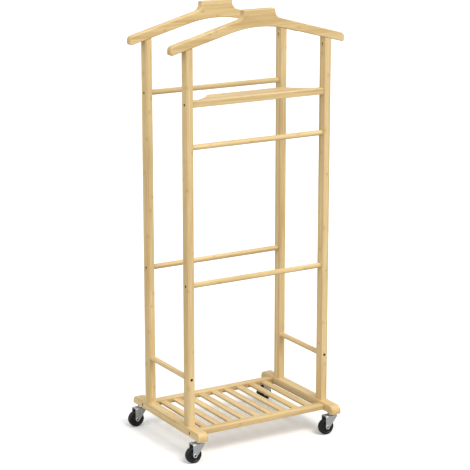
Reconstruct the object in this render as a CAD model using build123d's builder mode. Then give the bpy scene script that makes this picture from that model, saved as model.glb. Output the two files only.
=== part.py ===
from build123d import *
import math
import os

# A double valet stand: two suit hangers, each carried on a pair of posts, over a slatted base on castors.
# X runs along the hangers, Y from the front frame to the rear one, Z up from the floor.
# The origin is on the floor, in the middle of the stand.

os.makedirs("parts", exist_ok=True)

# ---- driving dimensions ----

# Castors
wheel_radius = 20
wheel_width = 15
castor_height = 54.5
castor_trail = 17

# Base
rail_width = 25
rail_height = 20
rail_length = 334
rail_end_radius = 15
rail_edge_radius = 2
castor_inset = 22
cross_rail_width = 22
cross_rail_height = 13
cross_rail_y = 118.3
cross_rail_lift = 2.5
slat_count = 9
slat_width = 18
slat_thickness = 5
slat_drop = 3
slat_tongue = 6
slat_edge_radius = 1

# Posts and what joins them
post_width = 17
post_depth = 25
post_edge_radius = 2
post_x = 188
post_y = 97.5
rod_radius = 6.5
socket_depth = 4
rung_z = 192
lower_rod_z = 420
middle_rod_z = 749
rear_top_rod_z = 848.7
tray_z = 850
tray_thickness = 15
tray_tab_depth = 17
tray_half_width = 105
tray_back_y = -40.5
tray_cove_half_width = 166
tray_cove_lead_in = 21
tray_cove_lead_out = (17, -25.5)
tray_corner_radius = 2
tray_edge_radius = 1.5

# Hangers
hanger_thickness = 20
hanger_half_width = 235.5
hanger_top = 1056.5
neck_half_width = 42.5
neck_corner_radius = 3
neck_foot_radius = 18
shoulder_tip_radius = 12
shoulder_heel_radius = 5
hanger_edge_radius = 2.5
shoulder_top_z = 1032
shoulder_top_x = 60
shoulder_slope = 0.2675
underside_z = 976.7
underside_slope = 0.262
arch_half_width = 78

# Screws and bolts
screw_radius = 1.75
screw_head_radius = 3.3
screw_head_height = 3
recess_radius = 3.5
recess_depth = 4
screw_bite = 26
bolt_radius = 2.5
bolt_head_radius = 4.5
bolt_head_height = 4
bolt_recess_radius = 5
bolt_recess_depth = 5
bolt_bite = 36
pocket_angle = 25
pocket_z = 958
pocket_seat = 9
pocket_reach = 34
pocket_run_out = 12
insert_radius = 4.5
insert_length = 14
stem_radius = 3

# ---- derived dimensions ----

rail_bottom = castor_height
rail_top = rail_bottom + rail_height
rail_inner_x = post_x - rail_width / 2
rail_outer_x = post_x + rail_width / 2
cross_rail_z = rail_bottom + cross_rail_lift + cross_rail_height / 2
cross_rail_top = cross_rail_z + cross_rail_height / 2
cross_rail_inner_y = cross_rail_y - cross_rail_width / 2
slat_z = cross_rail_top - slat_drop - slat_thickness / 2
slat_gap = (2 * rail_inner_x - slat_count * slat_width) / (slat_count + 1)
slat_pitch = slat_width + slat_gap
slat_half_length = cross_rail_inner_y + slat_tongue
post_inner_x = post_x - post_width / 2
post_outer_x = post_x + post_width / 2
post_inner_y = post_y - post_depth / 2
post_outer_y = post_y + post_depth / 2
rod_half_length = post_inner_x + socket_depth
rung_half_length = post_inner_y + socket_depth
castor_y = rail_length / 2 - castor_inset

sides = {"left": -1, "right": 1}
ends = {"front": -1, "rear": 1}
screwed_rods = {"front": [lower_rod_z], "rear": [lower_rod_z, rear_top_rod_z]}
all_rods = {"front": [lower_rod_z, middle_rod_z], "rear": [lower_rod_z, rear_top_rod_z]}


def underside(x):
    """Height of the sloping underside of a hanger at a distance x from its middle."""
    return underside_z + underside_slope * (post_x - x)


def shoulder(x):
    """Height of the sloping top of a hanger's shoulder at a distance x from its middle."""
    return shoulder_top_z - shoulder_slope * (x - shoulder_top_x)


def facing(x, y, z, direction):
    """A plane at a point, with its normal along a direction."""
    return Plane(origin=(x, y, z), z_dir=direction)


def upright(x, y, z=0):
    """A plane that stands across Y, with its own x along X and its own y up."""
    return Plane(origin=(x, y, z), x_dir=(1, 0, 0), z_dir=(0, -1, 0))


def across(x, y, z):
    """A plane that stands across X, with its own x along Y and its own y up."""
    return Plane(origin=(x, y, z), x_dir=(0, 1, 0), z_dir=(1, 0, 0))


def save(piece, name):
    """Labels a finished piece and writes it as one STEP file."""
    piece.label = name
    export_step(piece, f"parts/{name}.step")


def make_screw(seat, radius, length, head_radius, head_height):
    """Makes a socket screw: seat is the plane under its head, with the shank along its normal."""
    with BuildPart() as screw:
        with BuildSketch(seat):
            Circle(radius)
        extrude(amount=length)
        with BuildSketch(seat):
            Circle(head_radius)
        extrude(amount=-head_height)
        with BuildSketch(seat.offset(-head_height)):
            RegularPolygon(head_radius / 2, 6, major_radius=False)
        extrude(amount=head_height / 2, mode=Mode.SUBTRACT)
    return screw.part


def wood_screw(seat, length):
    """Makes one of the wood screws, which are alike but for their length."""
    return make_screw(seat, screw_radius, length, screw_head_radius, screw_head_height)


def pocket_axis(x_side, y, along):
    """Plane across the slanting hanger screw, at a distance along it from the post's inner face."""
    lean = math.radians(pocket_angle)
    direction = Vector(x_side * math.sin(lean), 0, math.cos(lean))
    mouth = Vector(x_side * post_inner_x, y, pocket_z)
    return Plane(origin=mouth + direction * along, z_dir=direction)


# ---- posts ----

for end_name, end in ends.items():
    for side_name, side in sides.items():
        x = side * post_x
        y = end * post_y
        with BuildPart() as post:
            with BuildSketch(Plane((x, y, rail_top))):
                RectangleRounded(post_width, post_depth, post_edge_radius)
            extrude(amount=underside(0) - rail_top)
            top = Plane(origin=(x, y, underside_z), z_dir=(side * underside_slope, 0, 1))
            split(bisect_by=top, keep=Keep.BOTTOM)
            for z in all_rods[end_name]:
                with BuildSketch(facing(side * post_inner_x, y, z, (side, 0, 0))):
                    Circle(rod_radius)
                extrude(amount=socket_depth, mode=Mode.SUBTRACT)
            with BuildSketch(facing(x, end * post_inner_y, rung_z, (0, end, 0))):
                Circle(rod_radius)
            extrude(amount=socket_depth, mode=Mode.SUBTRACT)
            screw_heights = list(screwed_rods[end_name])
            if end_name == "front":
                screw_heights.append(tray_z)
            for z in screw_heights:
                with Locations(facing(side * post_outer_x, y, z, (side, 0, 0))):
                    CounterBoreHole(screw_radius, recess_radius, recess_depth, post_width)
            with Locations(facing(x, end * post_outer_y, rung_z, (0, end, 0))):
                CounterBoreHole(screw_radius, recess_radius, recess_depth, post_depth)
            with Locations(facing(x, y, rail_top, (0, 0, -1))):
                Hole(bolt_radius, depth=bolt_bite)
            with BuildSketch(pocket_axis(side, y, -pocket_run_out)):
                Circle(recess_radius)
            extrude(amount=pocket_run_out + pocket_seat, mode=Mode.SUBTRACT)
            with BuildSketch(pocket_axis(side, y, pocket_seat)):
                Circle(screw_radius)
            extrude(amount=pocket_reach - pocket_seat, mode=Mode.SUBTRACT)
        save(post.part, f"post_{end_name}_{side_name}")

# ---- hangers ----

for end_name, end in ends.items():
    y = end * post_y
    with BuildPart() as hanger:
        with BuildSketch(upright(0, y)):
            with BuildLine():
                edge = FilletPolyline(
                    (0, hanger_top),
                    (neck_half_width, hanger_top),
                    (neck_half_width, shoulder(neck_half_width)),
                    (hanger_half_width, shoulder(hanger_half_width)),
                    (hanger_half_width, underside(hanger_half_width)),
                    (arch_half_width, underside(arch_half_width)),
                    radius=[
                        neck_corner_radius,
                        neck_foot_radius,
                        shoulder_tip_radius,
                        shoulder_heel_radius,
                    ],
                )
                arch_rise = arch_half_width * math.tan(math.atan(underside_slope) / 2)
                arch_crown = (0, underside(arch_half_width) + arch_rise)
                TangentArc(edge @ 1, arch_crown, tangent=edge % 1)
                mirror(about=Plane.YZ)
            make_face()
        extrude(amount=hanger_thickness / 2, both=True)
        fillet(hanger.faces().filter_by(Axis.Y).edges(), hanger_edge_radius)
        for side in sides.values():
            with BuildSketch(pocket_axis(side, y, pocket_seat)):
                Circle(screw_radius)
            extrude(amount=pocket_reach - pocket_seat, mode=Mode.SUBTRACT)
    save(hanger.part, f"hanger_{end_name}")

# ---- tray ----

tray_front_y = -post_y - tray_tab_depth / 2
tray_tab_y = -post_y + tray_tab_depth / 2
with BuildPart() as tray:
    with BuildSketch(Plane.XY.offset(tray_z - tray_thickness / 2)):
        with BuildLine():
            tab = Polyline(
                (0, tray_front_y),
                (post_inner_x, tray_front_y),
                (post_inner_x, tray_tab_y),
                (tray_cove_half_width, tray_tab_y),
            )
            back_corner = Vector(tray_half_width, tray_back_y)
            lead_in = tab @ 1 - Vector(tray_cove_lead_in, 0)
            lead_out = back_corner + Vector(*tray_cove_lead_out)
            Bezier(tab @ 1, lead_in, lead_out, back_corner)
            Line(back_corner, (0, tray_back_y))
            mirror(about=Plane.YZ)
        make_face()
    extrude(amount=tray_thickness)
    fillet(tray.edges().filter_by(Axis.Z).group_by(Axis.Y)[-1], tray_corner_radius)
    rims = tray.faces().filter_by(Axis.Z).edges()
    fillet(rims.filter_by(lambda rim: abs(rim.center().X) < post_inner_x - 1), tray_edge_radius)
    for side in sides.values():
        with Locations(facing(side * post_inner_x, -post_y, tray_z, (side, 0, 0))):
            Hole(screw_radius, depth=screw_bite)
save(tray.part, "tray")

# ---- rods ----

rods = {
    "rod_front_middle": (-1, middle_rod_z, 0),
    "rod_front_lower": (-1, lower_rod_z, screw_bite),
    "rod_rear_top": (1, rear_top_rod_z, screw_bite),
    "rod_rear_lower": (1, lower_rod_z, screw_bite),
}
for rod_name, (end, z, pilot_depth) in rods.items():
    y = end * post_y
    with BuildPart() as rod:
        with BuildSketch(facing(-rod_half_length, y, z, (1, 0, 0))):
            Circle(rod_radius)
        extrude(amount=2 * rod_half_length)
        if pilot_depth:
            for side in sides.values():
                with Locations(facing(side * rod_half_length, y, z, (side, 0, 0))):
                    Hole(screw_radius, depth=pilot_depth)
    save(rod.part, rod_name)

for side_name, side in sides.items():
    x = side * post_x
    with BuildPart() as rung:
        with BuildSketch(facing(x, -rung_half_length, rung_z, (0, 1, 0))):
            Circle(rod_radius)
        extrude(amount=2 * rung_half_length)
        for end in ends.values():
            with Locations(facing(x, end * rung_half_length, rung_z, (0, end, 0))):
                Hole(screw_radius, depth=screw_bite)
    save(rung.part, f"side_rung_{side_name}")

# ---- base ----

for side_name, side in sides.items():
    x = side * post_x
    with BuildPart() as side_rail:
        with BuildSketch(across(x, 0, rail_bottom + rail_height / 2)) as rail_side:
            Rectangle(rail_length, rail_height)
            fillet(rail_side.vertices().group_by(Axis.Y)[-1], rail_end_radius)
        extrude(amount=rail_width / 2, both=True)
        fillet(side_rail.faces().filter_by(Axis.X).edges(), rail_edge_radius)
        for end in ends.values():
            with Locations(facing(side * rail_outer_x, end * cross_rail_y, cross_rail_z, (side, 0, 0))):
                CounterBoreHole(screw_radius, recess_radius, recess_depth, rail_width)
            with Locations(facing(x, end * post_y, rail_bottom, (0, 0, -1))):
                CounterBoreHole(bolt_radius, bolt_recess_radius, bolt_recess_depth, rail_height)
            with Locations(facing(x, end * castor_y, rail_bottom, (0, 0, -1))):
                Hole(insert_radius, depth=insert_length)
    save(side_rail.part, f"side_rail_{side_name}")

slat_places = [(number - (slat_count - 1) / 2) * slat_pitch for number in range(slat_count)]
for end_name, end in ends.items():
    with BuildPart() as cross_rail:
        with BuildSketch(across(-rail_inner_x, end * cross_rail_y, cross_rail_z)):
            Rectangle(cross_rail_width, cross_rail_height)
        extrude(amount=2 * rail_inner_x)
        fillet(cross_rail.edges().filter_by(Axis.X), rail_edge_radius)
        with BuildSketch(upright(0, end * cross_rail_inner_y, slat_z)):
            with GridLocations(slat_pitch, 0, slat_count, 1):
                Rectangle(slat_width, slat_thickness)
        extrude(amount=-end * slat_tongue, mode=Mode.SUBTRACT)
        for side in sides.values():
            with Locations(facing(side * rail_inner_x, end * cross_rail_y, cross_rail_z, (side, 0, 0))):
                Hole(screw_radius, depth=screw_bite)
    save(cross_rail.part, f"cross_rail_{end_name}")

for number, place in enumerate(slat_places, start=1):
    with BuildPart() as slat:
        with BuildSketch(upright(place, slat_half_length, slat_z)):
            Rectangle(slat_width, slat_thickness)
        extrude(amount=2 * slat_half_length)
        top_edges = slat.faces().sort_by(Axis.Z)[-1].edges().filter_by(Axis.Y)
        fillet(top_edges, slat_edge_radius)
    save(slat.part, f"slat_{number}")

# ---- screws, bolts and inserts ----

corners = [(side, end) for end in ends.values() for side in sides.values()]
screw_seat_x = post_outer_x - recess_depth

screws = [
    wood_screw(
        facing(side * screw_seat_x, ends[end_name] * post_y, z, (-side, 0, 0)),
        screw_seat_x - rod_half_length + screw_bite,
    )
    for end_name, heights in screwed_rods.items()
    for z in heights
    for side in sides.values()
]
with BuildPart() as rod_screws:
    add(screws)
save(rod_screws.part, "rod_screws")

screws = [
    wood_screw(
        facing(side * screw_seat_x, -post_y, tray_z, (-side, 0, 0)),
        screw_seat_x - post_inner_x + screw_bite,
    )
    for side in sides.values()
]
with BuildPart() as tray_screws:
    add(screws)
save(tray_screws.part, "tray_screws")

screws = [
    wood_screw(
        facing(side * post_x, end * (post_outer_y - recess_depth), rung_z, (0, -end, 0)),
        post_outer_y - recess_depth - rung_half_length + screw_bite,
    )
    for side, end in corners
]
with BuildPart() as rung_screws:
    add(screws)
save(rung_screws.part, "rung_screws")

screws = [
    wood_screw(
        facing(side * (rail_outer_x - recess_depth), end * cross_rail_y, cross_rail_z, (-side, 0, 0)),
        rail_width - recess_depth + screw_bite,
    )
    for side, end in corners
]
with BuildPart() as cross_rail_screws:
    add(screws)
save(cross_rail_screws.part, "cross_rail_screws")

screws = [
    wood_screw(pocket_axis(side, end * post_y, pocket_seat), pocket_reach - pocket_seat)
    for side, end in corners
]
with BuildPart() as hanger_screws:
    add(screws)
save(hanger_screws.part, "hanger_screws")

bolts = [
    make_screw(
        facing(side * post_x, end * post_y, rail_bottom + bolt_recess_depth, (0, 0, 1)),
        bolt_radius,
        rail_height - bolt_recess_depth + bolt_bite,
        bolt_head_radius,
        bolt_head_height,
    )
    for side, end in corners
]
with BuildPart() as post_bolts:
    add(bolts)
save(post_bolts.part, "post_bolts")

with BuildPart() as castor_inserts:
    for end in ends.values():
        for side in sides.values():
            with BuildSketch(Plane((side * post_x, end * castor_y, rail_bottom))):
                Circle(insert_radius)
                Circle(stem_radius, mode=Mode.SUBTRACT)
            extrude(amount=insert_length)
save(castor_inserts.part, "castor_inserts")

# ---- castors ----

running_clearance = 0.05
stem_hex_half_width = 7
stem_head_z = 44.2
stem_head_radius = 5
stem_head_height = 1.5
fork_top = 48.5
fork_sheet = 2
fork_half_gap = 8.5
fork_half_width = fork_half_gap + fork_sheet
fork_lug_radius = 5.5
fork_back = castor_trail + fork_lug_radius
fork_front = 9.5
fork_bend_radius = 2.5
axle_radius = 3
axle_bore_radius = 2
axle_head_radius = 4.75
axle_head_height = 1
axle_rim_radius = 0.6
cup_radius = 10
cup_skirt_z = 49.6
cup_top = 53
cup_sheet = 1
cup_bevel = 1.5
ball_play = 0.1
ball_radius = 1.5
ball_circle_radius = 6.8
ball_count = 10
wheel_bore_radius = axle_radius + running_clearance
hub_half_width = 8.2
hub_radius = 6.5
web_outer_radius = 15.5
web_half_width = 6.2
hub_slope = 1.5
rim_slope = 0.8
wheel_edge_radius = 0.5
tread_edge_radius = 2.5

for end_name, end in ends.items():
    for side_name, side in sides.items():
        x = side * post_x
        y = end * castor_y
        axle_x = x - castor_trail
        place_name = f"{end_name}_{side_name}"
        swivel_axis = Axis((x, y, 0), (0, 0, 1))

        with BuildPart() as stem:
            with BuildSketch(Plane((x, y, stem_head_z))):
                Circle(stem_head_radius)
            extrude(amount=stem_head_height)
            with BuildSketch(Plane((x, y, stem_head_z))):
                Circle(stem_radius)
            extrude(amount=rail_bottom + insert_length - stem_head_z)
            with BuildSketch(Plane((x, y, cup_top))):
                RegularPolygon(stem_hex_half_width, 6, major_radius=False)
            extrude(amount=rail_bottom - cup_top)
        save(stem.part, f"castor_stem_{place_name}")

        with BuildPart() as cup:
            with BuildSketch(upright(x, y)):
                with BuildLine():
                    Polyline(
                        (stem_radius, cup_top),
                        (cup_radius - cup_bevel, cup_top),
                        (cup_radius, cup_top - cup_bevel),
                        (cup_radius, cup_skirt_z),
                        (cup_radius - cup_sheet, cup_skirt_z),
                        (cup_radius - cup_sheet, cup_top - cup_sheet),
                        (stem_radius, cup_top - cup_sheet),
                        close=True,
                    )
                make_face()
            revolve(axis=swivel_axis)
        save(cup.part, f"castor_cup_{place_name}")

        with BuildPart() as balls:
            with Locations(Plane((x, y, cup_top - cup_sheet - ball_radius - ball_play))):
                with PolarLocations(ball_circle_radius, ball_count):
                    Sphere(ball_radius)
        save(balls.part, f"castor_balls_{place_name}")

        with BuildPart() as fork:
            with BuildSketch(upright(x, y)):
                with Locations((-castor_trail, wheel_radius)):
                    Circle(fork_lug_radius)
                with Locations(((fork_front - fork_back) / 2, fork_top - fork_sheet)):
                    Rectangle(fork_front + fork_back, 2 * fork_sheet)
                make_hull()
            extrude(amount=fork_half_width, both=True)
            bends = fork.faces().sort_by(Axis.Z)[-1].edges().filter_by(Axis.X)
            fillet(bends, fork_bend_radius)
            with BuildSketch(upright(x, y, fork_top - fork_sheet)):
                with Locations(((fork_front - fork_back) / 2, 0)):
                    Rectangle(2 * fork_back, fork_top, align=(Align.CENTER, Align.MAX))
            extrude(amount=fork_half_gap, both=True, mode=Mode.SUBTRACT)
            with Locations(Plane((x, y, fork_top))):
                Hole(stem_radius + running_clearance, depth=2 * fork_sheet)
            with Locations(facing(axle_x, y - fork_half_width, wheel_radius, (0, -1, 0))):
                Hole(axle_radius, depth=2 * fork_half_width)
        save(fork.part, f"castor_fork_{place_name}")

        with BuildPart() as axle:
            with BuildSketch(upright(axle_x, y, wheel_radius)):
                Circle(axle_radius)
            extrude(amount=fork_half_width + axle_head_height, both=True)
            for face_side in ends.values():
                head_y = y + face_side * fork_half_width
                with BuildSketch(facing(axle_x, head_y, wheel_radius, (0, face_side, 0))):
                    Circle(axle_head_radius)
                extrude(amount=axle_head_height)
                rims = axle.edges().filter_by(GeomType.CIRCLE).sort_by(Axis((0, 0, 0), (0, face_side, 0)))
                fillet(rims[-1], axle_rim_radius)
            with BuildSketch(upright(axle_x, y, wheel_radius)):
                Circle(axle_bore_radius)
            extrude(amount=2 * fork_half_width, both=True, mode=Mode.SUBTRACT)
        save(axle.part, f"castor_axle_{place_name}")

        with BuildPart() as wheel:
            with BuildSketch(Plane((axle_x, y, wheel_radius))):
                with BuildLine():
                    FilletPolyline(
                        (wheel_bore_radius, hub_half_width),
                        (hub_radius, hub_half_width),
                        (hub_radius + hub_slope, web_half_width),
                        (web_outer_radius, web_half_width),
                        (web_outer_radius + rim_slope, wheel_width / 2),
                        (wheel_radius, wheel_width / 2),
                        (wheel_radius, 0),
                        radius=[wheel_edge_radius] * 4 + [tread_edge_radius],
                    )
                    Line((wheel_radius, 0), (wheel_bore_radius, 0))
                    Line((wheel_bore_radius, 0), (wheel_bore_radius, hub_half_width))
                make_face()
                mirror(about=Plane.XZ)
            revolve(axis=Axis((axle_x, y, wheel_radius), (0, 1, 0)))
        save(wheel.part, f"castor_wheel_{place_name}")
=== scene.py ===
# %% [markdown]
# # A bamboo valet stand on castors
# The stand comes in as a finished CAD frame: every post, rod and slat is already at its size and place.
# This lesson gives it a camera, soft light, laminated bamboo, plated steel and moulded wheels.
# The frame is loaded first, because the new castor pieces take their overall sizes from it.

# %% Load the frame
import math

import bmesh
import bpy
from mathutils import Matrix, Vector


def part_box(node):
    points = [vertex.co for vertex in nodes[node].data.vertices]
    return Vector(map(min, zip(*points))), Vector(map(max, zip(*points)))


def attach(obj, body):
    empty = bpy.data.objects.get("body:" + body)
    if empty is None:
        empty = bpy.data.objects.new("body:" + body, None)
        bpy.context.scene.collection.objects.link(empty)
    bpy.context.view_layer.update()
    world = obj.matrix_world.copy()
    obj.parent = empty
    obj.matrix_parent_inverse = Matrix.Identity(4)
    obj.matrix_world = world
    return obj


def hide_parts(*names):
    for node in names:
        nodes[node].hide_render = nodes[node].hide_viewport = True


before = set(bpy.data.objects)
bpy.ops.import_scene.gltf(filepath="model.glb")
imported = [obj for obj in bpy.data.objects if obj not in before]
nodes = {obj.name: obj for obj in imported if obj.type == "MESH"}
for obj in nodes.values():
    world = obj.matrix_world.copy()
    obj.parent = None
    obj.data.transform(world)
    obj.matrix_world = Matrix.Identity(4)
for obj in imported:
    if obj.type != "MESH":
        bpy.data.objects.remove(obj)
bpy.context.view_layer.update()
mm = 0.001

# %% [markdown]
# ## The camera
# A tall thin object is best taken with a long lens from well back, so that its posts stay nearly parallel.
# The camera stands at the front left, above the hangers, and looks a little down.
# Its place is given in metres from the middle of the stand's foot, and its turn as a heading and a dip.

# %% Camera
camera_place = Vector((-2.170, -3.619, 1.574))
camera_heading = math.radians(30.91)
camera_dip = math.radians(14.31)
camera_lens = 137.6
camera_data = bpy.data.cameras.new("camera")
camera_data.lens = camera_lens
camera = bpy.data.objects.new("camera", camera_data)
camera.location = camera_place
camera.rotation_euler = (math.pi / 2 - camera_dip, 0, -camera_heading)
bpy.context.scene.collection.objects.link(camera)
bpy.context.scene.camera = camera
print("camera distance", round(camera_place.length, 2), "m")

# %% [markdown]
# ## A pale studio
# The stand is shown on a pale floor that runs out to the same white as the background.
# A floor could be a curved sweep, but a wide level plane under a white sky looks the same and is simpler.
# The camera sees the sky at full white and the floor nearly so, while the light that they shed is kept lower,
# as with black flags in a studio, so the undersides stay in shade and the wood isn't washed out.

# %% Floor and sky
scene = bpy.context.scene
scene.view_settings.view_transform = "Standard"
floor_reach = 14
sky_light = 0.74
sky_seen = 1.0
floor_bounce = 0.42
floor_seen = 0.95


def principled(name):
    """A new material, with its node tree and its shader."""
    material = bpy.data.materials.new(name)
    material.use_nodes = True
    tree = material.node_tree
    return material, tree, tree.nodes["Principled BSDF"]


def seen_or_shed(tree, seen, shed):
    """One value where the camera looks straight at a thing, and another for the light it sheds."""
    choice = tree.nodes.new("ShaderNodeMapRange")
    choice.inputs["To Min"].default_value = shed
    choice.inputs["To Max"].default_value = seen
    camera_ray = tree.nodes.new("ShaderNodeLightPath").outputs["Is Camera Ray"]
    tree.links.new(camera_ray, choice.inputs["Value"])
    return choice.outputs["Result"]


floor_shape = bmesh.new()
bmesh.ops.create_grid(floor_shape, x_segments=2, y_segments=2, size=floor_reach)
floor_mesh = bpy.data.meshes.new("floor")
floor_shape.to_mesh(floor_mesh)
floor_shape.free()
floor = bpy.data.objects.new("floor", floor_mesh)
scene.collection.objects.link(floor)
floor_material, floor_tree, floor_shader = principled("pale_floor")
floor_white = seen_or_shed(floor_tree, floor_seen, floor_bounce)
floor_tree.links.new(floor_white, floor_shader.inputs["Base Color"])
floor_shader.inputs["Roughness"].default_value = 0.9
floor_shader.inputs["Specular IOR Level"].default_value = 0.1
floor_mesh.materials.append(floor_material)

world = bpy.data.worlds.new("studio")
scene.world = world
world.use_nodes = True
sky = world.node_tree.nodes["Background"]
sky.inputs["Color"].default_value = (1, 1, 1, 1)
sky_strength = seen_or_shed(world.node_tree, sky_seen, sky_light)
world.node_tree.links.new(sky_strength, sky.inputs["Strength"])
print("floor", floor.name, "sky", sky_light)

# %% [markdown]
# Distant lamps light the whole floor evenly, where lamps close by would leave a grey rim far away.
# A wide disc of light in place of a point gives the soft edges of a large studio lamp.
# The main one stands high in front and a little to the right.
# A weaker, cooler one fills in from the left.

# %% Lamps
def lamp(name, heading, height, strength, spread, colour):
    """A distant lamp: heading 0 is in front and 90 to the right, height is above the horizon, in degrees."""
    data = bpy.data.lights.new(name, "SUN")
    data.energy = strength
    data.angle = math.radians(spread)
    data.color = colour
    light = bpy.data.objects.new(name, data)
    light.rotation_euler = (math.radians(90 - height), 0, math.radians(heading))
    scene.collection.objects.link(light)
    return light


lamp("main_lamp", 12, 50, 2.25, 34, (1.0, 0.975, 0.94))
lamp("left_lamp", -72, 20, 1.2, 60, (0.90, 0.96, 1.0))

# %% [markdown]
# ## Laminated bamboo
# Bamboo boards are glued up from split strips a few millimetres wide, each with its own tone.
# Along each strip run fine fibres, and on many strips there is the faint band of a knuckle every 24 cm.
# A flat image of bamboo could be wrapped on, but it would stretch at the ends, so the pattern is worked out
# from where each point lies: along the grain, across the board and through it.

# %% Small node helpers
def node(tree, kind, **settings):
    """Adds a node and sets its plain properties."""
    made = tree.nodes.new(kind)
    for key, value in settings.items():
        setattr(made, key, value)
    return made


def feed(tree, socket, value):
    """Links a socket or sets a number on an input."""
    if isinstance(value, bpy.types.NodeSocket):
        tree.links.new(value, socket)
    else:
        socket.default_value = value


def maths(tree, operation, *values, clamp=False):
    """A math node's result."""
    made = node(tree, "ShaderNodeMath", operation=operation, use_clamp=clamp)
    for socket, value in zip(made.inputs, values):
        feed(tree, socket, value)
    return made.outputs["Value"]


def vector_of(tree, x, y, z):
    """A vector from three numbers or sockets."""
    made = node(tree, "ShaderNodeCombineXYZ")
    for socket, value in zip(made.inputs, (x, y, z)):
        feed(tree, socket, value)
    return made.outputs["Vector"]


def noise(tree, vector, scale=1.0, detail=2.0, rough=0.5, distort=0.0):
    """A noise value around a half."""
    made = node(tree, "ShaderNodeTexNoise")
    feed(tree, made.inputs["Vector"], vector)
    made.inputs["Scale"].default_value = scale
    made.inputs["Detail"].default_value = detail
    made.inputs["Roughness"].default_value = rough
    made.inputs["Distortion"].default_value = distort
    return made.outputs["Fac"]


def remap(tree, value, low, high, to_low, to_high):
    """A smooth step from one range to another."""
    made = node(tree, "ShaderNodeMapRange", interpolation_type="SMOOTHSTEP")
    for name, number in (("From Min", low), ("From Max", high), ("To Min", to_low), ("To Max", to_high)):
        made.inputs[name].default_value = number
    feed(tree, made.inputs["Value"], value)
    return made.outputs["Result"]


def blend_colours(tree, share, first, second):
    """Mixes two colours by a share. Sockets 6, 7 and 2 are the Mix node's colours."""
    made = node(tree, "ShaderNodeMix", data_type="RGBA")
    feed(tree, made.inputs["Factor"], share)
    feed(tree, made.inputs[6], first)
    feed(tree, made.inputs[7], second)
    return made.outputs[2]


def bump(tree, height, strength, distance):
    """A bump normal from a height."""
    made = node(tree, "ShaderNodeBump")
    made.inputs["Strength"].default_value = strength
    made.inputs["Distance"].default_value = distance
    feed(tree, made.inputs["Height"], height)
    return made.outputs["Normal"]


def edge_share(tree, radius, low, high):
    """How much a point lies on an outer edge, from 0 to 1."""
    edge = node(tree, "ShaderNodeBevel", samples=4)
    edge.inputs["Radius"].default_value = radius
    plain = node(tree, "ShaderNodeNewGeometry")
    turned = node(tree, "ShaderNodeVectorMath", operation="DOT_PRODUCT")
    tree.links.new(edge.outputs["Normal"], turned.inputs[0])
    tree.links.new(plain.outputs["Normal"], turned.inputs[1])
    return remap(tree, turned.outputs["Value"], low, high, 1.0, 0.0)


print("helpers ready")

# %% [markdown]
# The grain's direction differs from piece to piece: up the posts, along the rods, front to back on the slats.
# One function takes the direction and two tones, so all the wood is clearly from the same workshop.
# Strips are found by rounding the cross position down to whole strip widths.
# A random number for each strip shifts its tone, its knuckles and its fibres.

# %% Bamboo
strip_width = 6.2 * mm
strip_depth = 8.5 * mm
knuckle_gap = 0.24
knuckle_shift = 3.1
fibre_shift = 7.3
strip_contrast = 0.42
fibre_contrast = 1.55
cloud_contrast = 1.0
bundle_contrast = 0.6


def stretched(tree, directions, lengthwise, crosswise, shift=0.0):
    """A place to read a noise at, drawn out along the grain."""
    along, across, through = directions
    return vector_of(
        tree,
        maths(tree, "ADD", maths(tree, "MULTIPLY", along, lengthwise), shift),
        maths(tree, "MULTIPLY", across, crosswise),
        maths(tree, "MULTIPLY", through, crosswise),
    )


def tinted(colour, *shares):
    """A colour with each channel scaled, and full opacity."""
    return (*(min(1, channel * share) for channel, share in zip(colour, shares)), 1)


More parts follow.
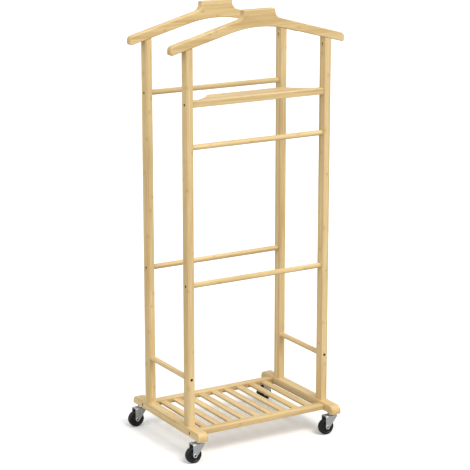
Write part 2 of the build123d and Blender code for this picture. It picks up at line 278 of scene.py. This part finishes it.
def bamboo(name, grain, light, dark, seed):
    """Laminated bamboo with its grain along the X, Y or Z axis."""
    material, tree, shader = principled(name)
    place = node(tree, "ShaderNodeTexCoord")
    split = node(tree, "ShaderNodeSeparateXYZ")
    tree.links.new(place.outputs["Object"], split.inputs[0])
    order = {"X": "XZY", "Y": "YXZ", "Z": "ZXY"}[grain]
    directions = [split.outputs[axis] for axis in order]
    along, across, through = directions

    row = maths(tree, "FLOOR", maths(tree, "DIVIDE", across, strip_width))
    layer = maths(tree, "FLOOR", maths(tree, "DIVIDE", through, strip_depth))
    random = node(tree, "ShaderNodeTexWhiteNoise", noise_dimensions="3D")
    tree.links.new(vector_of(tree, row, layer, seed), random.inputs["Vector"])
    own_tone = random.outputs["Value"]
    own_shift = maths(tree, "MULTIPLY", own_tone, fibre_shift)

    fibre = noise(tree, stretched(tree, directions, 9, 520, own_shift), detail=4.0, rough=0.62)
    bundle = noise(tree, stretched(tree, directions, 60, 2300))
    cloud = noise(tree, stretched(tree, directions, 5, 26), detail=3.0)

    tone = maths(tree, "MULTIPLY", maths(tree, "SUBTRACT", own_tone, 0.5), strip_contrast)
    tone = maths(tree, "MULTIPLY_ADD", maths(tree, "SUBTRACT", fibre, 0.5), fibre_contrast, tone)
    tone = maths(tree, "MULTIPLY_ADD", maths(tree, "SUBTRACT", cloud, 0.5), cloud_contrast, tone)
    tone = maths(tree, "MULTIPLY_ADD", maths(tree, "SUBTRACT", bundle, 0.5), bundle_contrast, tone)
    tone = maths(tree, "ADD", tone, 0.5, clamp=True)
    colour = blend_colours(tree, tone, (*dark, 1), (*light, 1))

    walk = maths(tree, "MULTIPLY_ADD", own_tone, knuckle_shift, along)
    wobble = maths(tree, "MULTIPLY_ADD", fibre, 1.6 * mm, walk)
    beat = maths(tree, "WRAP", wobble, knuckle_gap, 0.0)
    from_knuckle = maths(tree, "ABSOLUTE", maths(tree, "SUBTRACT", beat, knuckle_gap / 2))
    knuckle = remap(tree, from_knuckle, 0.4 * mm, 2.2 * mm, 1.0, 0.0)
    halo = remap(tree, from_knuckle, 1.0 * mm, 11 * mm, 1.0, 0.0)
    chosen = remap(tree, random.outputs["Color"], 0.35, 0.4, 0.0, 1.0)
    knuckle = maths(tree, "MULTIPLY", knuckle, chosen)
    halo = maths(tree, "MULTIPLY", maths(tree, "MULTIPLY", halo, chosen), 0.22)
    warm = tinted(dark, 0.92, 0.80, 0.62)
    colour = blend_colours(tree, halo, colour, warm)
    colour = blend_colours(tree, maths(tree, "MULTIPLY", knuckle, 0.42), colour, warm)

    inside_row = maths(tree, "FRACT", maths(tree, "DIVIDE", across, strip_width))
    from_middle = maths(tree, "ABSOLUTE", maths(tree, "SUBTRACT", inside_row, 0.5))
    seam = remap(tree, from_middle, 0.475, 0.5, 0.0, 0.3)
    colour = blend_colours(tree, seam, colour, tinted(dark, 0.75, 0.66, 0.5))

    facing = node(tree, "ShaderNodeSeparateXYZ")
    tree.links.new(place.outputs["Normal"], facing.inputs[0])
    end_on = remap(tree, maths(tree, "ABSOLUTE", facing.outputs[grain]), 0.6, 0.92, 0.0, 1.0)
    dots = node(tree, "ShaderNodeTexVoronoi")
    dots.inputs["Scale"].default_value = 1150
    tree.links.new(place.outputs["Object"], dots.inputs["Vector"])
    speck = remap(tree, dots.outputs["Distance"], 0.15, 0.45, 0.55, 0.0)
    end_colour = blend_colours(tree, 0.35, colour, (*dark, 1))
    end_colour = blend_colours(tree, speck, end_colour, warm)
    colour = blend_colours(tree, end_on, colour, end_colour)

    # Outer edges are painted lighter, partly as wear and partly as a painted highlight where they catch the
    # light.
    wear_and_highlight = maths(tree, "MULTIPLY", edge_share(tree, 1.2 * mm, 0.86, 0.99), 0.35)
    wear_and_highlight = maths(tree, "MULTIPLY", wear_and_highlight, remap(tree, cloud, 0.35, 0.6, 0.3, 1.0))
    colour = blend_colours(tree, wear_and_highlight, colour, tinted(light, 1.08, 1.1, 1.16))

    tree.links.new(colour, shader.inputs["Base Color"])
    tree.links.new(remap(tree, fibre, 0.25, 0.75, 0.52, 0.38), shader.inputs["Roughness"])
    grain_height = maths(tree, "MULTIPLY_ADD", bundle, 0.6, maths(tree, "SUBTRACT", fibre, seam))
    tree.links.new(bump(tree, grain_height, 0.35, 0.25 * mm), shader.inputs["Normal"])
    shader.inputs["Coat Weight"].default_value = 0.10
    shader.inputs["Coat Roughness"].default_value = 0.28
    shader.inputs["Specular IOR Level"].default_value = 0.35
    return material


def dress(material, *names):
    """Puts one material on CAD nodes."""
    for name in names:
        mesh = nodes[name].data
        mesh.materials.clear()
        mesh.materials.append(material)


light_bamboo = (0.740, 0.565, 0.295)
deep_bamboo = (0.470, 0.310, 0.120)
posts = [n for n in nodes if n.startswith("post_") and n != "post_bolts"]
rods = [n for n in nodes if n.startswith("rod_") and n != "rod_screws"]
slats = [n for n in nodes if n.startswith("slat_")]
timbers = [
    ("post_bamboo", "Z", posts),
    ("hanger_bamboo", "X", ["hanger_front", "hanger_rear"]),
    ("tray_bamboo", "X", ["tray"]),
    ("rod_bamboo", "X", rods),
    ("rung_bamboo", "Y", ["side_rung_left", "side_rung_right"]),
    ("side_rail_bamboo", "Y", ["side_rail_left", "side_rail_right"]),
    ("cross_rail_bamboo", "X", ["cross_rail_front", "cross_rail_rear"]),
    ("slat_bamboo", "Y", slats),
]
for seed, (name, grain, pieces) in enumerate(timbers, 1):
    dress(bamboo(name, grain, light_bamboo, deep_bamboo, seed), *pieces)
print("bamboo on", sum(len(pieces) for name, grain, pieces in timbers), "pieces")

# %% [markdown]
# ## Plated steel and black plastic
# The castor forks are pressed from zinc plated sheet: pale grey, mottled by the zinc, with fine rolling
# marks, and brighter on the cut edges, partly from rubbing and partly as a painted highlight.
# The screws are near black, partly as painted shade in their recesses, so that they vanish there.

# %% Metals
def metal(name, base, second, roughness, mottle, rub):
    """Plated or bare metal, mottled, with fine marks along Z and edges painted bright, partly as wear and
    partly as a painted highlight.
    """
    material, tree, shader = principled(name)
    place = node(tree, "ShaderNodeTexCoord").outputs["Object"]
    stretch = node(tree, "ShaderNodeMapping")
    stretch.inputs["Scale"].default_value = (900, 900, 60)
    tree.links.new(place, stretch.inputs["Vector"])
    marks = noise(tree, stretch.outputs["Vector"], 1.0, 3.0)
    patches = noise(tree, place, mottle, 4.0, 0.6, 0.4)
    share = maths(tree, "MULTIPLY_ADD", maths(tree, "SUBTRACT", marks, 0.5), 0.7, patches, clamp=True)
    colour = blend_colours(tree, share, (*base, 1), (*second, 1))
    # The edges are painted brighter: partly rubbing, partly a painted highlight.
    bright = tuple(min(1, 1.45 * channel) for channel in base)
    wear_and_highlight = maths(tree, "MULTIPLY", edge_share(tree, 0.5 * mm, 0.80, 0.985), 0.8)
    colour = blend_colours(tree, wear_and_highlight, colour, (*bright, 1))
    tree.links.new(colour, shader.inputs["Base Color"])
    shine = remap(tree, patches, 0.3, 0.7, roughness - 0.07, roughness + 0.09)
    tree.links.new(shine, shader.inputs["Roughness"])
    tree.links.new(bump(tree, maths(tree, "ADD", marks, patches), rub, 0.05 * mm), shader.inputs["Normal"])
    shader.inputs["Metallic"].default_value = 1.0
    return material


castors = [n.removeprefix("castor_fork_") for n in nodes if n.startswith("castor_fork_")]
zinc = metal("zinc_plate", (0.70, 0.71, 0.73), (0.50, 0.51, 0.53), 0.42, 420, 0.3)
rivet_steel = metal("rivet_steel", (0.74, 0.74, 0.76), (0.56, 0.56, 0.58), 0.34, 500, 0.25)
# Near-black steel for the screws and the rivet bores, where it also serves as painted shade.
dark_steel_and_shade = metal("dark_screw_steel_and_shade", (0.050, 0.043, 0.036), (0.024, 0.021, 0.018), 0.45, 300, 0.3)
brass = metal("insert_brass", (0.72, 0.55, 0.26), (0.50, 0.36, 0.15), 0.38, 240, 0.3)
turning = [f"castor_{kind}_{castor}" for castor in castors for kind in ("stem", "balls")]
dress(rivet_steel, *turning)
screws = [n for n in nodes if n.endswith("_screws")] + ["post_bolts"]
dress(dark_steel_and_shade, *screws)
inserts = ["castor_inserts"]
dress(brass, *inserts)
print("metal on", len(turning) + len(screws) + len(inserts), "pieces")

# %% [markdown]
# The wheels are moulded in black plastic. It is near black, with a fine grain that softens its shine
# and faint dusty patches that are a little paler and rougher.

# %% Black plastic
def black_plastic(name):
    """Moulded black plastic with a fine grain and a little dust."""
    material, tree, shader = principled(name)
    place = node(tree, "ShaderNodeTexCoord").outputs["Object"]
    grain = noise(tree, place, 2600, 2.0)
    dust = noise(tree, place, 190, 5.0, 0.65)
    black = (0.0045, 0.0045, 0.0050, 1)
    dusty = (0.030, 0.029, 0.027, 1)
    colour = blend_colours(tree, remap(tree, dust, 0.50, 0.80, 0.0, 0.5), black, dusty)
    tree.links.new(colour, shader.inputs["Base Color"])
    tree.links.new(remap(tree, dust, 0.35, 0.75, 0.34, 0.58), shader.inputs["Roughness"])
    tree.links.new(bump(tree, grain, 0.2, 0.08 * mm), shader.inputs["Normal"])
    shader.inputs["Specular IOR Level"].default_value = 0.32
    return material


wheel_plastic = black_plastic("wheel_plastic")
print("plastic", wheel_plastic.name)

# %% [markdown]
# ## Turned pieces of the castors
# A castor's wheel, hollow rivet and ball cup are all round, so each is an outline turned about an axis.
# The outline is drawn as a chain of points, each with its own corner radius, and a full spin closes it.
# The CAD pieces have simpler outlines, so these take their overall sizes from them and add
# the crowned tread, the moulding line, the dished web and the rolled lips.

# %% Turning an outline
def finish_mesh(shape, name, materials, sharp=38):
    """Merges and faces a shape outwards, and makes it a smooth object."""
    bmesh.ops.remove_doubles(shape, verts=shape.verts, dist=0.001 * mm)
    bmesh.ops.recalc_face_normals(shape, faces=shape.faces)
    mesh = bpy.data.meshes.new(name)
    shape.to_mesh(mesh)
    shape.free()
    for material in materials:
        mesh.materials.append(material)
    for face in mesh.polygons:
        face.use_smooth = True
    mesh.set_sharp_from_angle(angle=math.radians(sharp))
    piece = bpy.data.objects.new(name, mesh)
    scene.collection.objects.link(piece)
    return piece


def turned(outline, centre, axis, closed, steps=72):
    """Turns (radius, offset, corner radius) points, in millimetres, about an axis through a centre."""
    out = axis.orthogonal().normalized()
    shape = bmesh.new()
    chain = [shape.verts.new(centre + out * r * mm + axis * offset * mm) for r, offset, corner in outline]
    for first, second in zip(chain, chain[1:]):
        shape.edges.new((first, second))
    if closed:
        shape.edges.new((chain[-1], chain[0]))
    for corner in sorted({corner for r, offset, corner in outline if corner}):
        rounded = [v for v, point in zip(chain, outline) if point[2] == corner]
        bmesh.ops.bevel(
            shape,
            geom=rounded,
            offset=corner * mm,
            offset_type="OFFSET",
            segments=3,
            profile=0.5,
            affect="VERTICES",
            material=-1,
        )
    bmesh.ops.spin(
        shape,
        geom=shape.verts[:] + shape.edges[:],
        cent=centre,
        axis=axis,
        angle=2 * math.pi,
        steps=steps,
        use_merge=True,
    )
    return shape


def both_sides(half):
    """An outline with its mirror image, which runs back from it."""
    return half + [(r, -offset, corner) for r, offset, corner in reversed(half)]


sideways = Vector((0, 1, 0))
upwards = Vector((0, 0, 1))
print("castors", castors)

# %% [markdown]
# The wheel's outline starts at its bore: the hub boss, the dished web, the rim and the crowned tread.
# Two moulds meet at the middle of the tread and leave a fine raised line.

# %% Wheels
wheel_bore = 3.05
boss_radius = 6.2
web_inner = 7.6
web_outer = 13.9
rim_inner = 15.7
for castor in castors:
    low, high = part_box(f"castor_wheel_{castor}")
    hub = (high.y - low.y) / 2 / mm
    tread = (high.z - low.z) / 2 / mm
    half_tread = hub - 0.7
    outline = both_sides(
        [
            (wheel_bore, hub, 0.3),
            (boss_radius, hub, 0.8),
            (web_inner, hub - 2.3, 1.1),
            (web_outer, hub - 3.1, 1.0),
            (rim_inner, half_tread - 0.4, 0.7),
            (tread - 1.7, half_tread, 1.0),
            (tread - 0.35, half_tread - 2.2, 1.2),
            (tread - 0.12, 0.45, 0.1),
            (tread, 0.15, 0.1),
        ]
    )
    wheel = finish_mesh(
        turned(outline, (low + high) / 2, sideways, True), f"wheel_{castor}", [wheel_plastic]
    )
    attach(wheel, f"wheel_{castor}")
    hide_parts(f"castor_wheel_{castor}")
print("wheel radius", round(tread, 2), "mm, hub", round(2 * hub, 2), "mm")

# %% [markdown]
# The axle is a hollow rivet: its two ends are rolled outwards over the fork, and its bore looks black.
# The bore stops inside, and its walls and floor are painted near black as the shade inside it.

# %% Rivets
bore = 2.4
bore_stop = 5
shank_radius = 3
for castor in castors:
    low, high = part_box(f"castor_axle_{castor}")
    head = (high.z - low.z) / 2 / mm
    reach = (high.y - low.y) / 2 / mm
    outline = both_sides(
        [
            (0, reach - bore_stop, 0),
            (bore, reach - bore_stop, 0),
            (bore, reach - 0.9, 0.5),
            (bore + 0.7, reach, 0.5),
            (head - 0.6, reach - 0.1, 0.5),
            (head, reach - 0.7, 0.2),
            (head - 0.1, reach - 1, 0),
            (shank_radius, reach - 1, 0),
        ]
    )
    middle = (low + high) / 2
    shape = turned(outline, middle, sideways, False)
    # The faces of the bore take the near-black steel, as painted shade.
    for face in shape.faces:
        spot = face.calc_center_median() - middle
        spot.y = 0
        face.material_index = int(spot.length < (bore + 0.05) * mm)
    rivet = finish_mesh(shape, f"rivet_{castor}", [rivet_steel, dark_steel_and_shade])
    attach(rivet, f"fork_{castor}")
    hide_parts(f"castor_axle_{castor}")
print("rivet", round(2 * reach, 2), "mm long")

# %% [markdown]
# The ball cup is a pressed lid over the ring of balls, fixed to the stem.
# It has a rolled edge and a raised middle.

# %% Ball cups
stem_hole = 3
cup_wall = 0.9
for castor in castors:
    low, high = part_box(f"castor_cup_{castor}")
    middle = (low + high) / 2
    rim = (high.x - low.x) / 2 / mm
    top = (high.z - low.z) / 2 / mm
    outline = [
        (stem_hole, top, 0),
        (5.6, top, 0.3),
        (6.2, top - 0.5, 0.3),
        (rim - 1.8, top - 0.5, 0.9),
        (rim, top - 1.7, 0.7),
        (rim, -top, 0.3),
        (rim - cup_wall, -top, 0.2),
        (rim - cup_wall, top - 2.1, 0.5),
        (rim - 2.4, top - 1.4, 0.4),
        (stem_hole, top - 1, 0),
    ]
    cup = finish_mesh(turned(outline, middle, upwards, True, 56), f"ball_cup_{castor}", [zinc])
    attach(cup, "stand")
    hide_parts(f"castor_cup_{castor}")
print("cup", round(2 * rim, 2), "mm wide")

# %% [markdown]
# The fork is cut and folded from one sheet, so its cut edges are slightly rounded by the press.
# Its CAD shape is right, so a copy is merged, its flat faces are joined up, and its sharp edges are rounded.

# %% Forks
cut_edge_radius = 0.35
cut_edge_angle = 40
for castor in castors:
    shape = bmesh.new()
    shape.from_mesh(nodes[f"castor_fork_{castor}"].data)
    bmesh.ops.remove_doubles(shape, verts=shape.verts, dist=0.01 * mm)
    bmesh.ops.dissolve_limit(
        shape, angle_limit=math.radians(1), verts=shape.verts, edges=shape.edges, delimit=set()
    )
    inner = [e for e in shape.edges if len(e.link_faces) == 2]
    cut = [e for e in inner if e.calc_face_angle() > math.radians(cut_edge_angle)]
    bmesh.ops.bevel(
        shape,
        geom=cut,
        offset=cut_edge_radius * mm,
        offset_type="OFFSET",
        segments=2,
        profile=0.5,
        affect="EDGES",
        clamp_overlap=True,
        material=-1,
    )
    fork = finish_mesh(shape, f"fork_{castor}", [zinc])
    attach(fork, f"fork_{castor}")
    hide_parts(f"castor_fork_{castor}")
print("fork faces", len(fork.data.polygons))
